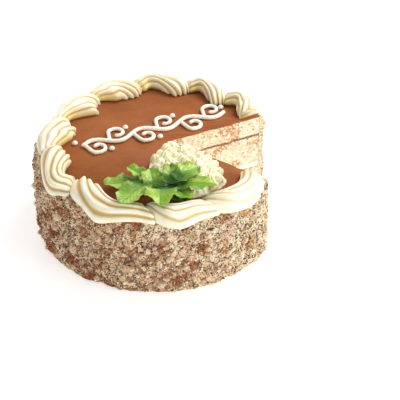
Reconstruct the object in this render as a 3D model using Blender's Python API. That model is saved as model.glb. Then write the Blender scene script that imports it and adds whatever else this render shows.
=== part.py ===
"""Kyiv cake with a wedge cut out of it.

Three nut meringue layers with cream between them stand inside a coat of crumbs. A skin of
chocolate covers the top, and on it lie a piped cream border, a heap of piped cream
florets, a cluster of leaves and a piped scroll.

Design values are in millimetres and degrees, and meshes are written in metres. +Z is up,
the origin is the middle of the round base, and the notch opens towards +X.
"""

import math
import random

import bmesh
import bpy
from mathutils import Matrix, Vector, noise

MM = 0.001
GAP = 0.3

# The whole cake
CAKE_RADIUS = 110.0
CAKE_HEIGHT = 77.8
COAT_THICKNESS = 6.0

# The notch, seen from above: its sharp inner corner and its two cut faces
APEX = (9.0, 7.9)
FAR_CUT = 23.8
NEAR_CUT = 324.3
ARC_STEPS = 40
CUT_STEPS = 15
CUT_RELIEF = 0.6
CUT_LUMP = 9.0
FAN_DISTANCE = 82.0

# Heights where one layer ends and the next begins
BOTTOM_TOP = 22.6
WHITE_CREAM_TOP = 28.0
MIDDLE_TOP = 56.0
NUT_CREAM_TOP = 58.0
CHOCOLATE_THICKNESS = 1.5
LAYER_UNEVENNESS = 1.4
LAYER_WAVE = 24.0

# Crumb coat. Bumps are pairs of height and width
COAT_ROWS = 10
COLUMNS_PER_STEP = 2
COAT_BUMPS = ((2.4, 13.0), (2.0, 6.0))
SHOULDER_HEIGHT = 8.0
SHOULDER_DROP = 3.0
FOOT_HEIGHT = 5.0
FOOT_DRAW = 1.2
CRUMB_BANDS = 5
CRUMBS_PER_BAND = 10
CRUMB_RADII = (2.4, 2.8, 3.2, 4.2)

# Piped border. A stroke runs from one joint to the next: its head reaches in, then it arches
# out along the rim to its tail. Edges are pairs of plan angle and radius, and joints lean by
# degrees for each millimetre further out
BORDER_JOINTS = (27.6, 45.0, 69.0, 98.0, 125.0, 154.0, 182.0, 218.0, 261.0, 289.0, 329.2)
BORDER_INNER = (
    (23.0, 84.0),
    (33.0, 87.0),
    (39.0, 94.0),
    (51.0, 81.5),
    (64.5, 94.5),
    (77.5, 82.0),
    (92.5, 93.0),
    (103.0, 81.0),
    (116.0, 81.0),
    (124.0, 88.0),
    (137.0, 74.0),
    (152.5, 88.0),
    (163.0, 75.5),
    (172.0, 75.5),
    (181.0, 84.5),
    (196.0, 78.0),
    (210.5, 91.5),
    (221.0, 79.5),
    (231.0, 80.5),
    (248.0, 96.0),
    (263.0, 90.0),
    (278.0, 97.0),
    (293.0, 92.0),
    (314.0, 94.0),
    (332.0, 82.0),
)
BORDER_OUTER = (
    (23.0, 105.0),
    (36.0, 108.0),
    (51.0, 103.5),
    (63.0, 108.5),
    (76.0, 103.5),
    (90.0, 108.5),
    (104.0, 103.5),
    (117.0, 108.5),
    (131.0, 103.0),
    (144.0, 107.5),
    (158.5, 102.5),
    (173.0, 107.0),
    (189.5, 103.5),
    (214.0, 112.5),
    (228.5, 105.5),
    (240.0, 115.5),
    (262.0, 110.0),
    (277.0, 115.5),
    (293.0, 111.5),
    (312.0, 115.5),
    (332.0, 107.0),
)
BORDER_HEIGHT = 12.0
COAT_EDGE = 109.0
LIP_SLOPE = 0.7
BORDER_RIDGES = 5
RIDGE_RELIEF = 1.3
BORDER_LEAN = 0.39
LEAN_RADIUS = 87.0
STATION_STEP = 3.6

# Heap of florets: its plan outline as radii about its middle, and its height
HEAP_MIDDLE = (25.0, -45.0)
HEAP_RADII = (
    (0.0, 28.0),
    (46.0, 26.0),
    (80.0, 34.0),
    (112.0, 44.0),
    (136.0, 38.0),
    (168.0, 34.0),
    (203.0, 34.0),
    (237.0, 36.0),
    (287.0, 34.0),
    (315.0, 35.0),
    (337.0, 36.0),
)
HEAP_HEIGHT = 10.5
HEAP_SIDES = 28
HEAP_SHARES = (1.0, 0.93, 0.75, 0.45)
FLORET_PITCH = 9.0
FLORET_POINTS = 5
FLORET_SIZES = (3.9, 4.7)
LEAF_REACH = (34.0, -50.0)

# Leaves. Columns: name, foot, tip, width, heights of foot, middle and tip, ripple
LEAF_THICKNESS = 0.9
LEAVES = (
    ("leaf_left_low", (-18.0, -62.0), (-46.0, -65.0), 18.0, (6.0, 6.5, 7.5), 0.5),
    ("leaf_left_high", (-11.5, -60.0), (-26.0, -50.0), 12.0, (11.5, 12.5, 13.5), 0.5),
    ("leaf_front_left", (-12.0, -72.0), (-31.0, -103.0), 23.0, (12.5, 14.0, 15.0), 0.8),
    ("leaf_front", (3.0, -79.0), (1.0, -108.0), 25.0, (11.0, 17.5, 15.5), 0.8),
    ("leaf_front_low", (6.0, -66.0), (23.0, -92.0), 22.0, (7.0, 7.0, 6.4), 0.4),
    ("leaf_front_right", (15.0, -77.0), (27.5, -95.0), 15.0, (9.5, 11.0, 12.0), 0.5),
    ("leaf_right_low", (20.0, -76.0), (49.0, -81.0), 15.0, (14.0, 15.5, 15.0), 0.6),
    ("leaf_right_high", (17.0, -68.0), (35.0, -56.0), 19.0, (17.0, 19.5, 19.0), 0.8),
    ("leaf_back", (10.5, -65.0), (11.0, -50.0), 14.0, (11.5, 15.5, 18.5), 0.6),
    ("leaf_back_left", (-4.0, -70.0), (-6.5, -53.0), 18.0, (8.5, 13.5, 17.5), 0.7),
)

# Piped scroll, and the beads beside it as distances along its line and off it
SCROLL_START = (-66.0, -1.0)
SCROLL_HEADING = 22.0
SCROLL_LENGTH = 138.0
SCROLL_WAVES = 3.0
SCROLL_SWING = 5.0
SCROLL_RADIUS = 1.9
SCROLL_STEPS = 27
CURLS = 6
CURL_RADII = (8.2, 3.8)
CURL_OFFSET = 7.5
CURL_STEPS = 8
BEAD_PLACES = ((-4.0, 8.0), (23.0, -13.0), (46.0, 13.0), (69.0, -13.0), (92.0, 13.0), (138.0, 8.0))
BEAD_RINGS = ((1.6, 0.0), (2.6, 1.3), (2.0, 2.9))
BEAD_HEIGHT = 3.8
BEAD_SIDES = 8

rng = random.Random(1956)


def make_material(name, colour, roughness):
    """A plain surface of one colour."""
    material = bpy.data.materials.new(name)
    material.use_nodes = True
    shader = material.node_tree.nodes["Principled BSDF"]
    shader.inputs["Base Color"].default_value = (*colour, 1.0)
    shader.inputs["Roughness"].default_value = roughness
    shader.inputs["Metallic"].default_value = 0.0
    return material


def make_object(name, points, faces, material, sharp_angle=40.0):
    """A closed solid from points in millimetres, with its faces pointing out."""
    mesh = bpy.data.meshes.new(name)
    mesh.from_pydata([(x * MM, y * MM, z * MM) for x, y, z in points], [], faces)
    work = bmesh.new()
    work.from_mesh(mesh)
    bmesh.ops.triangulate(work, faces=work.faces[:], ngon_method="EAR_CLIP")
    bmesh.ops.recalc_face_normals(work, faces=work.faces[:])
    work.to_mesh(mesh)
    work.free()
    mesh.shade_smooth()
    mesh.set_sharp_from_angle(angle=math.radians(sharp_angle))
    mesh.materials.append(material)
    solid = bpy.data.objects.new(name, mesh)
    bpy.context.scene.collection.objects.link(solid)
    return solid


def fuse(body, pieces):
    """Join the pieces to the body by one union, and remove what went into it."""
    group = bpy.data.collections.new(body.name + "_pieces")
    bpy.context.scene.collection.children.link(group)
    for piece in pieces:
        bpy.context.scene.collection.objects.unlink(piece)
        group.objects.link(piece)
    union = body.modifiers.new("fuse", "BOOLEAN")
    union.operation = "UNION"
    union.operand_type = "COLLECTION"
    union.collection = group
    union.solver = "EXACT"
    with bpy.context.temp_override(object=body, active_object=body, selected_objects=[body]):
        bpy.ops.object.modifier_apply(modifier=union.name)
    for piece in pieces:
        bpy.data.objects.remove(piece)
    bpy.data.collections.remove(group)


def unit(angle):
    """Unit vector in plan at an angle in degrees."""
    return math.cos(math.radians(angle)), math.sin(math.radians(angle))


def smooth(t):
    """Ease from 0 to 1."""
    t = min(max(t, 0.0), 1.0)
    return t * t * (3.0 - 2.0 * t)


def reach(angle, radius):
    """Distance from the notch's corner, along a plan angle, to a circle about the middle."""
    ux, uy = unit(angle)
    along = APEX[0] * ux + APEX[1] * uy
    return -along + math.sqrt(along ** 2 - APEX[0] ** 2 - APEX[1] ** 2 + radius ** 2)


def on_ray(angle, distance):
    """Plan point at a distance from the notch's corner."""
    ux, uy = unit(angle)
    return APEX[0] + ux * distance, APEX[1] + uy * distance


def arc_angles(steps):
    """Plan angles about the notch's corner, from the far cut round to the near cut."""
    return [FAR_CUT + (NEAR_CUT - FAR_CUT) * i / steps for i in range(steps + 1)]


def layer_face(level, x, y):
    """Height of the meeting face between two layers, gently uneven inside the cake."""
    if level in (0.0, CAKE_HEIGHT, CAKE_HEIGHT - CHOCOLATE_THICKNESS):
        return level
    wave = noise.noise(Vector((x / LAYER_WAVE, y / LAYER_WAVE, level / 60.0)))
    return level + LAYER_UNEVENNESS * wave


def cut_relief(distance, z, length, seed):
    """How far a crumbled cut face stands out of its plane."""
    fade = smooth(distance / 8.0) * smooth((length - distance) / 6.0)
    lumps = noise.noise(Vector((distance / CUT_LUMP, z / CUT_LUMP, seed)))
    return CUT_RELIEF * fade * 2.0 * lumps


def build_layer(name, low, high, rows, material):
    """One layer of the cake inside the coat, running right through to both cut faces."""
    radius = CAKE_RADIUS - COAT_THICKNESS - GAP
    low_gap = GAP / 2 if low > 0.0 else 0.0
    high_gap = GAP / 2 if high < CAKE_HEIGHT else 0.0
    angles = arc_angles(ARC_STEPS)
    points = []
    columns = []

    def add_column(x, y, count, push=None):
        bottom = layer_face(low, x, y) + low_gap
        top = layer_face(high, x, y) - high_gap
        column = []
        for row in range(count + 1):
            z = bottom + (top - bottom) * row / count
            level = low + (high - low) * row / count
            dx, dy = push(level) if push else (0.0, 0.0)
            column.append(len(points))
            points.append((x + dx, y + dy, z))
        columns.append(column)

    def cut_column(angle, normal, step, seed):
        length = reach(angle, radius)
        distance = length * step / CUT_STEPS
        x, y = on_ray(angle, distance)
        nx, ny = unit(normal)

        def push(level):
            out = cut_relief(distance, level, length, seed)
            return nx * out, ny * out

        add_column(x, y, rows, push)

    add_column(*APEX, rows)
    for step in range(1, CUT_STEPS + 1):
        cut_column(FAR_CUT, FAR_CUT - 90.0, step, 3.0)
    for angle in angles[1:-1]:
        add_column(*on_ray(angle, reach(angle, radius)), 1)
    for step in range(CUT_STEPS, 0, -1):
        cut_column(NEAR_CUT, NEAR_CUT + 90.0, step, 8.0)

    middle = on_ray((FAR_CUT + NEAR_CUT) / 2, FAN_DISTANCE)
    bottom_middle = len(points)
    points.append((*middle, layer_face(low, *middle) + low_gap))
    top_middle = len(points)
    points.append((*middle, layer_face(high, *middle) - high_gap))

    faces = []
    for this, after in zip(columns, columns[1:] + columns[:1]):
        if len(this) == len(after):
            for row in range(len(this) - 1):
                faces.append((this[row], after[row], after[row + 1], this[row + 1]))
        else:
            faces.append((*this, *reversed(after)))
        faces.append((bottom_middle, after[0], this[0]))
        faces.append((top_middle, this[-1], after[-1]))
    return make_object(name, points, faces, material)


def coat_radius(x, y, z):
    """Outer radius of the crumb coat: coarse bumps, and a rounded shoulder and foot."""
    bumps = sum(height * noise.noise(Vector((x, y, z)) / width) for height, width in COAT_BUMPS)
    near_top = smooth((z - CAKE_HEIGHT + SHOULDER_HEIGHT) / SHOULDER_HEIGHT)
    foot = FOOT_DRAW * smooth(1.0 - z / FOOT_HEIGHT)
    return CAKE_RADIUS + bumps * (1.0 - 0.8 * near_top) - SHOULDER_DROP * near_top - foot


def build_crumb(index, radius, centre):
    """One lump of meringue or nut: a squashed and turned block with twenty sides."""
    work = bmesh.new()
    bmesh.ops.create_icosphere(work, subdivisions=1, radius=1.0)
    for vertex in work.verts:
        vertex.co *= rng.uniform(0.8, 1.15)
    stretch = Matrix.Diagonal((rng.uniform(0.8, 1.25), rng.uniform(0.8, 1.25), 0.85))
    turn = Matrix.Rotation(rng.uniform(0.0, math.tau), 3, Vector((rng.random(), rng.random(), 1.0)))
    points = [turn @ stretch @ vertex.co * radius + Vector(centre) for vertex in work.verts]
    faces = [[vertex.index for vertex in face.verts] for face in work.faces]
    work.free()
    return make_object("crumb_%03d" % index, points, faces, materials["coat"])


def build_coat():
    """The coat of crumbs: a thick wall round the layers, open at the notch."""
    inner_radius = CAKE_RADIUS - COAT_THICKNESS
    inner_angles = arc_angles(ARC_STEPS)
    outer_angles = arc_angles(ARC_STEPS * COLUMNS_PER_STEP)
    points = []
    outer = []
    for angle in outer_angles:
        column = []
        for row in range(COAT_ROWS + 1):
            z = CAKE_HEIGHT * row / COAT_ROWS
            x, y = on_ray(angle, reach(angle, CAKE_RADIUS))
            x, y = on_ray(angle, reach(angle, coat_radius(x, y, z)))
            column.append(len(points))
            points.append((x, y, z))
        outer.append(column)
    inner = []
    for angle in inner_angles:
        x, y = on_ray(angle, reach(angle, inner_radius))
        inner.append((len(points), len(points) + 1))
        points += [(x, y, 0.0), (x, y, CAKE_HEIGHT)]

    faces = []
    for this, after in zip(outer, outer[1:]):
        for row in range(COAT_ROWS):
            faces.append((this[row], after[row], after[row + 1], this[row + 1]))
    for step in range(ARC_STEPS):
        first, last = inner[step], inner[step + 1]
        faces.append((first[0], first[1], last[1], last[0]))
        rim = outer[step * COLUMNS_PER_STEP:(step + 1) * COLUMNS_PER_STEP + 1]
        faces.append((first[0], last[0], *[column[0] for column in reversed(rim)]))
        faces.append((last[1], first[1], *[column[-1] for column in rim]))
    faces.append((inner[0][1], inner[0][0], *outer[0]))
    faces.append((inner[-1][0], inner[-1][1], *reversed(outer[-1])))
    coat = make_object("crumb_coat", points, faces, materials["coat"], 60.0)

    crumbs = []
    low, high = 5.0, CAKE_HEIGHT - 11.0
    for band in range(CRUMB_BANDS):
        for place in range(CRUMBS_PER_BAND):
            along = (place + 0.5 + rng.uniform(-0.35, 0.35)) / CRUMBS_PER_BAND
            angle = FAR_CUT + 7.0 + (NEAR_CUT - FAR_CUT - 14.0) * along
            radius = rng.choice(CRUMB_RADII)
            z = low + (high - low) * (band + 0.5 + rng.uniform(-0.35, 0.35)) / CRUMB_BANDS
            x, y = on_ray(angle, reach(angle, CAKE_RADIUS - 0.2 * radius))
            crumbs.append(build_crumb(len(crumbs), radius, (x, y, z)))
    fuse(coat, crumbs)
    return coat


def edge_radius(angle, edge):
    """Plan radius of an edge, smoothly through its named angles and radii."""
    for (a0, r0), (a1, r1) in zip(edge, edge[1:]):
        if angle <= a1:
            return r0 + (r1 - r0) * smooth((angle - a0) / (a1 - a0))
    return edge[-1][1]


def build_stroke(index):
    """One stroke of the piped border, with its ridges running along the rim."""
    start, end = BORDER_JOINTS[index:index + 2]
    lean_start = BORDER_LEAN * (index > 0)
    lean_end = BORDER_LEAN * (index < len(BORDER_JOINTS) - 2)
    stations = max(5, round((end - start) / STATION_STEP))
    across = 2 * BORDER_RIDGES
    half_gap = math.degrees(GAP / 2 / LEAN_RADIUS)
    floor = CAKE_HEIGHT + GAP

    def plan_angle(u, radius):
        beyond = radius - LEAN_RADIUS
        low = start + lean_start * beyond + half_gap
        high = end + lean_end * beyond - half_gap
        return low + (high - low) * u

    def on_edge(u, edge):
        radius = edge_radius(plan_angle(u, LEAN_RADIUS), edge)
        return edge_radius(plan_angle(u, radius), edge)

    points = []
    rings = []
    for station in range(stations + 1):
        u = station / stations
        inner, outer = on_edge(u, BORDER_INNER), on_edge(u, BORDER_OUTER)
        height = BORDER_HEIGHT * (0.65 + 0.35 * smooth(u / 0.2))
        height *= 1.0 - 0.28 * smooth((u - 0.6) / 0.4)
        profile = []
        for k in range(across + 1):
            v = k / across
            dome = math.sin(math.pi * (0.1 + 0.8 * v)) ** 0.7
            ridge = RIDGE_RELIEF if k % 2 else -RIDGE_RELIEF
            z = max(floor + height * dome + ridge, floor + 1.2)
            profile.append((inner + (outer - inner) * v, z))
        lip = floor - LIP_SLOPE * max(0.0, outer - COAT_EDGE)
        profile.append((outer + 0.6, lip + 1.2))
        profile.append((outer - 1.2, lip))
        profile.append((min(outer - 2.2, COAT_EDGE - 1.1), floor))
        profile.append((inner, floor))
        rings.append(range(len(points), len(points) + len(profile)))
        for radius, z in profile:
            ux, uy = unit(plan_angle(u, radius))
            points.append((radius * ux, radius * uy, z))
    faces = []
    for this, after in zip(rings, rings[1:]):
        for k in range(len(this)):
            following = (k + 1) % len(this)
            faces.append((this[k], after[k], after[following], this[following]))
    faces.append(tuple(reversed(rings[0])))
    faces.append(tuple(rings[-1]))
    return make_object("border_%02d" % (index + 1), points, faces, materials["cream"], 50.0)


def heap_radius(angle):
    """Plan radius of the heap about its middle, smoothly through the named radii."""
    angle %= 360.0
    wrapped = HEAP_RADII + ((HEAP_RADII[0][0] + 360.0, HEAP_RADII[0][1]),)
    for (a0, r0), (a1, r1) in zip(wrapped, wrapped[1:]):
        if a0 <= angle <= a1:
            return r0 + (r1 - r0) * smooth((angle - a0) / (a1 - a0))
    return HEAP_RADII[0][1]


def heap_height(x, y):
    """Height of the heap's core above the chocolate at a plan point."""
    dx, dy = x - HEAP_MIDDLE[0], y - HEAP_MIDDLE[1]
    share = math.hypot(dx, dy) / heap_radius(math.degrees(math.atan2(dy, dx)))
    if share >= 1.0:
        return 0.0
    under_leaves = smooth((y + 78.0) / 30.0 + max(0.0, x - 30.0) / 40.0)
    return HEAP_HEIGHT * (0.6 + 0.4 * under_leaves) * (1.0 - share ** 2.4) ** 0.6


def build_floret(index, centre, normal, size):
    """A small star of cream pressed from a star nozzle, drawn up to a tip."""
    turn = rng.uniform(0.0, 360.0)
    frame = normal.to_track_quat("Z", "Y").to_matrix()
    levels = ((-0.35, 0.95, 0.0), (0.5, 0.8, 18.0))
    count = 2 * FLORET_POINTS
    points = []
    for height, width, twist in levels:
        for k in range(count):
            radius = size * width * (1.0 if k % 2 == 0 else 0.68)
            ux, uy = unit(turn + twist + 360.0 * k / count)
            points.append(frame @ Vector((ux * radius, uy * radius, size * height)) + centre)
    points.append(frame @ Vector((0.0, 0.0, size * 1.2)) + centre)
    lowest = CAKE_HEIGHT + GAP + 0.2
    points = [(point.x, point.y, max(point.z, lowest)) for point in points]
    faces = [tuple(range(count - 1, -1, -1))]
    for level in range(len(levels) - 1):
        for k in range(count):
            a, b = level * count + k, level * count + (k + 1) % count
            faces.append((a, b, b + count, a + count))
    top = (len(levels) - 1) * count
    for k in range(count):
        faces.append((top + k, top + (k + 1) % count, len(points) - 1))
    return make_object("floret_%02d" % index, points, faces, materials["cream"])


def build_heap():
    """The heap of florets: a low mound of cream with small stars of cream all over it."""
    around = HEAP_SIDES
    points = []
    for share in HEAP_SHARES:
        for k in range(around):
            angle = 360.0 * k / around
            ux, uy = unit(angle)
            radius = heap_radius(angle) * share
            x, y = HEAP_MIDDLE[0] + ux * radius, HEAP_MIDDLE[1] + uy * radius
            points.append((x, y, CAKE_HEIGHT + GAP + heap_height(x, y) * (share < 1.0)))
    points.append((*HEAP_MIDDLE, CAKE_HEIGHT + GAP + heap_height(*HEAP_MIDDLE)))
    faces = [tuple(range(around - 1, -1, -1))]
    for level in range(len(HEAP_SHARES) - 1):
        for k in range(around):
            a, b = level * around + k, level * around + (k + 1) % around
            faces.append((a, b, b + around, a + around))
    top = (len(HEAP_SHARES) - 1) * around
    for k in range(around):
        faces.append((top + k, top + (k + 1) % around, len(points) - 1))
    heap = make_object("floret_heap", points, faces, materials["cream"])

    florets = []
    near = unit(NEAR_CUT)
    for row in range(-6, 7):
        for place in range(-6, 7):
            x = HEAP_MIDDLE[0] + FLORET_PITCH * (place + 0.5 * (row % 2)) + rng.uniform(-1.2, 1.2)
            y = HEAP_MIDDLE[1] + FLORET_PITCH * 0.87 * row + rng.uniform(-1.2, 1.2)
            size = rng.uniform(*FLORET_SIZES)
            dx, dy = x - HEAP_MIDDLE[0], y - HEAP_MIDDLE[1]
            edge = heap_radius(math.degrees(math.atan2(dy, dx))) - math.hypot(dx, dy)
            to_cut = (y - APEX[1]) * near[0] - (x - APEX[0]) * near[1]
            past_leaves = x > LEAF_REACH[0] and x + 0.6 * y > -2.0
            under_leaves = y < LEAF_REACH[1] and not past_leaves
            on_border = math.hypot(x, y) > 83.0
            if edge < 1.0 or to_cut > -5.0 or under_leaves or on_border:
                continue
            z = CAKE_HEIGHT + GAP + max(heap_height(x, y), 0.45 * size)
            lean = 0.55 * (1.0 - smooth(edge / 14.0)) + 0.1
            away = Vector((dx, dy, 0.0)).normalized() * lean
            normal = (Vector((0.0, 0.0, 1.0)) + away).normalized()
            florets.append(build_floret(len(florets), Vector((x, y, z)), normal, size))
    fuse(heap, florets)
    return heap


def build_leaf(name, foot, tip, width, heights, ripple):
    """A thin, pointed, wavy leaf from its foot to its tip.

    heights are those of its foot, middle and tip over the chocolate.
    """
    along, across = 6, 4
    axis = Vector((tip[0] - foot[0], tip[1] - foot[1]))
    ux, uy = axis.normalized()
    foot_height, middle_height, tip_height = heights
    upper, lower = [], []
    for i in range(along + 1):
        t = i / along
        distance = axis.length * t
        bend = 4.0 * t * (1.0 - t)
        height = foot_height + (tip_height - foot_height) * t
        height += (middle_height - (foot_height + tip_height) / 2) * bend
        half = 0.5 * width * (0.6 + 0.4 * smooth(t / 0.4)) * max(1.0 - t ** 3.5, 0.02) ** 0.7
        for k in range(across + 1):
            s = 2.0 * k / across - 1.0
            x = foot[0] + ux * distance - uy * half * s
            y = foot[1] + uy * distance + ux * half * s
            wave = ripple * abs(s) * math.sin(math.tau * (1.3 * t + 0.25 * (s > 0.0)))
            z = CAKE_HEIGHT + height + wave + 0.8 * abs(s)
            upper.append((x, y, z + LEAF_THICKNESS / 2))
            lower.append((x, y, z - LEAF_THICKNESS / 2))
    points = upper + lower
    offset = len(upper)
    row = across + 1
    faces = []
    for i in range(along):
        for k in range(across):
            a, b = i * row + k, i * row + k + 1
            c, d = b + row, a + row
            faces += [(a, b, c), (a, c, d)]
            faces += [(a + offset, c + offset, b + offset), (a + offset, d + offset, c + offset)]
    rim = list(range(row))
    rim += [i * row + across for i in range(1, along + 1)]
    rim += [along * row + k for k in range(across - 1, -1, -1)]
    rim += [i * row for i in range(along - 1, 0, -1)]
    for this, after in zip(rim, rim[1:] + rim[:1]):
        faces.append((this, after, after + offset, this + offset))
    return make_object(name, points, faces, materials["leaf"], 60.0)


def build_tube(name, path, radius, sides, material):
    """A round bead of cream along a path that lies on the chocolate, with closed ends."""
    points = []
    count = len(path)
    for i, (x, y) in enumerate(path):
        before, after = path[max(i - 1, 0)], path[min(i + 1, count - 1)]
        along = Vector((after[0] - before[0], after[1] - before[1], 0.0)).normalized()
        side = Vector((-along.y, along.x, 0.0))
        swell = 0.8 if i in (0, count - 1) else 1.0
        for k in range(sides):
            angle = math.tau * (k + 0.5) / sides
            out = side * (math.cos(angle) * radius * swell)
            points.append((x + out.x, y + out.y, radius + math.sin(angle) * radius * swell))
    lift = CAKE_HEIGHT + GAP - min(point[2] for point in points)
    points = [(x, y, z + lift) for x, y, z in points]
    faces = [tuple(range(sides - 1, -1, -1)), tuple(range((count - 1) * sides, count * sides))]
    for i in range(count - 1):
        for k in range(sides):
            a, b = i * sides + k, i * sides + (k + 1) % sides
            faces.append((a, b, b + sides, a + sides))
    return make_object(name, points, faces, material)


def scroll_point(along, off):
    """Plan point on the scroll's line, which runs beside the far cut."""
    ux, uy = unit(SCROLL_HEADING)
    return SCROLL_START[0] + ux * along - uy * off, SCROLL_START[1] + uy * along + ux * off


def scroll_swing(along):
    """How far the scroll's stem swings off its line."""
    return SCROLL_SWING * math.sin(math.tau * SCROLL_WAVES * along / SCROLL_LENGTH)


def curl_path(number):
    """Plan points of a curl: it leaves the stem and turns round into a hook."""
    side = 1.0 if number % 2 else -1.0
    along = SCROLL_LENGTH * (number + 0.5) / CURLS
    path = [scroll_point(along - 9.0, scroll_swing(along - 9.0))]
    for step in range(1, CURL_STEPS + 1):
        turn = step / CURL_STEPS
        angle = math.radians(180.0 + side * (10.0 - 330.0 * turn))
        radius = CURL_RADII[0] + (CURL_RADII[1] - CURL_RADII[0]) * turn
        off = side * CURL_OFFSET + radius * math.sin(angle)
        path.append(scroll_point(along + 1.0 + radius * math.cos(angle), off))
    return path


def build_scroll():
    """A running vine of cream with curls on both sides."""
    places = [SCROLL_LENGTH * step / SCROLL_STEPS for step in range(SCROLL_STEPS + 1)]
    stem = [scroll_point(along, scroll_swing(along)) for along in places]
    body = build_tube("cream_scroll", stem, SCROLL_RADIUS, 5, materials["cream"])
    curls = []
    for number in range(CURLS):
        path = curl_path(number)
        curl = build_tube("curl_%d" % number, path, 0.92 * SCROLL_RADIUS, 5, materials["cream"])
        curls.append(curl)
    fuse(body, curls)
    return body


def build_bead(number, place):
    """A round drop of cream beside the scroll."""
    x, y = scroll_point(*place)
    floor = CAKE_HEIGHT + GAP
    points, faces = [], []
    for radius, z in BEAD_RINGS:
        for k in range(BEAD_SIDES):
            ux, uy = unit(360.0 * k / BEAD_SIDES)
            points.append((x + ux * radius, y + uy * radius, floor + z))
    points.append((x, y, floor + BEAD_HEIGHT))
    faces.append(tuple(range(BEAD_SIDES - 1, -1, -1)))
    for level in range(len(BEAD_RINGS)):
        for k in range(BEAD_SIDES):
            a, b = level * BEAD_SIDES + k, level * BEAD_SIDES + (k + 1) % BEAD_SIDES
            if level < len(BEAD_RINGS) - 1:
                faces.append((a, b, b + BEAD_SIDES, a + BEAD_SIDES))
            else:
                faces.append((a, b, len(points) - 1))
    return make_object("bead_%d" % number, points, faces, materials["cream"])


for old in list(bpy.data.objects):
    bpy.data.objects.remove(old)

materials = {
    "meringue": make_material("meringue", (0.84, 0.72, 0.53), 0.9),
    "cream": make_material("cream", (0.93, 0.84, 0.63), 0.45),
    "nut_cream": make_material("nut_cream", (0.42, 0.25, 0.13), 0.7),
    "chocolate": make_material("chocolate", (0.37, 0.14, 0.06), 0.4),
    "coat": make_material("coat", (0.56, 0.40, 0.25), 0.95),
    "leaf": make_material("leaf", (0.22, 0.48, 0.09), 0.5),
}

UNDER_CHOCOLATE = CAKE_HEIGHT - CHOCOLATE_THICKNESS
build_layer("meringue_bottom", 0.0, BOTTOM_TOP, 3, materials["meringue"])
build_layer("cream_white", BOTTOM_TOP, WHITE_CREAM_TOP, 1, materials["cream"])
build_layer("meringue_middle", WHITE_CREAM_TOP, MIDDLE_TOP, 4, materials["meringue"])
build_layer("cream_nut", MIDDLE_TOP, NUT_CREAM_TOP, 1, materials["nut_cream"])
build_layer("meringue_top", NUT_CREAM_TOP, UNDER_CHOCOLATE, 3, materials["meringue"])
build_layer("chocolate_top", UNDER_CHOCOLATE, CAKE_HEIGHT, 1, materials["chocolate"])
build_coat()

for number in range(len(BORDER_JOINTS) - 1):
    build_stroke(number)

build_heap()
for leaf in LEAVES:
    build_leaf(*leaf)
build_scroll()
for number, place in enumerate(BEAD_PLACES):
    build_bead(number + 1, place)
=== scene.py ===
"""Looks of a kyiv cake with a wedge cut out of it.

The meringue and cream layers, the chocolate, the crumb coat, the piped border, the heap of
florets, the leaves, the scroll and its beads each take the place of their solid.

Design values are in millimetres and degrees, and meshes are written in metres. +Z is up,
the origin is the middle of the round base, and the notch opens towards +X.
"""

import math
import random

import bmesh
import bpy
import numpy as np
from mathutils import Matrix, Vector, noise


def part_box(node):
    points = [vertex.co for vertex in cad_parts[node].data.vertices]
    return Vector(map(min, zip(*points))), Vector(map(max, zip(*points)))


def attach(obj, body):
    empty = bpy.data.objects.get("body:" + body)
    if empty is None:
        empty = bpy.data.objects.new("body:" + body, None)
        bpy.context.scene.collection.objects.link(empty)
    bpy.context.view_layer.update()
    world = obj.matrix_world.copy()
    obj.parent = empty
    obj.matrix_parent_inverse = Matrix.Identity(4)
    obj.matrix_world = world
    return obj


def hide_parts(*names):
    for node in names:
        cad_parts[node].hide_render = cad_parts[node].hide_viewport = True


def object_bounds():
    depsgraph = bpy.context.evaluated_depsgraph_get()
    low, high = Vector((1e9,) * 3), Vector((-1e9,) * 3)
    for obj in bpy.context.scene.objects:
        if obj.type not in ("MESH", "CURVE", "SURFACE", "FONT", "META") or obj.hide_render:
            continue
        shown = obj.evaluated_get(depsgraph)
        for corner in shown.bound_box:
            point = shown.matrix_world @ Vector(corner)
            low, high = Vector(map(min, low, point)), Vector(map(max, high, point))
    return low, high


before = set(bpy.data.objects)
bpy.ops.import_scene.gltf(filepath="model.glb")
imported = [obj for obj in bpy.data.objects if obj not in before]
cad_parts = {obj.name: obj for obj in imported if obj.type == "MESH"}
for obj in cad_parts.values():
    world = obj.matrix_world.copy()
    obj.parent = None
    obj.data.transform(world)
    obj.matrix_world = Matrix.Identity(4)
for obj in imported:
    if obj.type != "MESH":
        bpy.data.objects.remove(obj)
cad_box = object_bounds()


# Meringue and cream layers
# Three baked discs of nut meringue stand in one stack with white cream and nut cream between
# them. A knife has cut out a wedge: it tears the meringue to pits and crumbs.

MM = 0.001
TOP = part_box("chocolate_top")[1].z / MM
CAKE_RADIUS = 110.0
COAT_THICKNESS = 6.0
GAP = 0.3
APEX = (9.0, 7.9)
FAR_CUT = 23.8
NEAR_CUT = 324.3
CUT_CELL = 0.8
ROUND_COLUMNS = 80
FAN_DISTANCE = 82.0
BOTTOM_TOP = 22.6
WHITE_CREAM_TOP = 28.0
MIDDLE_TOP = 56.0
NUT_CREAM_TOP = 58.0
UNDER_CHOCOLATE = TOP - 1.5
MEETING_SWELL = 1.4
MEETING_SIZE = 24.0
MEETING_DRIFT = 60.0
TEAR_DEPTH = 1.2
TEAR_SIZE = 9.0
GRAIN_SIZE = 3.4
FINE_SIZE = 1.7
CORNER_FADE = 8.0
RIM_FADE = 6.0
TORN = 0.9
SMEARED = 0.25
FLECKED = 0.3

# Plan angle of each cut face, the turn from it to the way it faces, and where its noise starts
CUT_FACES = ((FAR_CUT, -90.0, 3.0), (NEAR_CUT, 90.0, 8.0))


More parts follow.
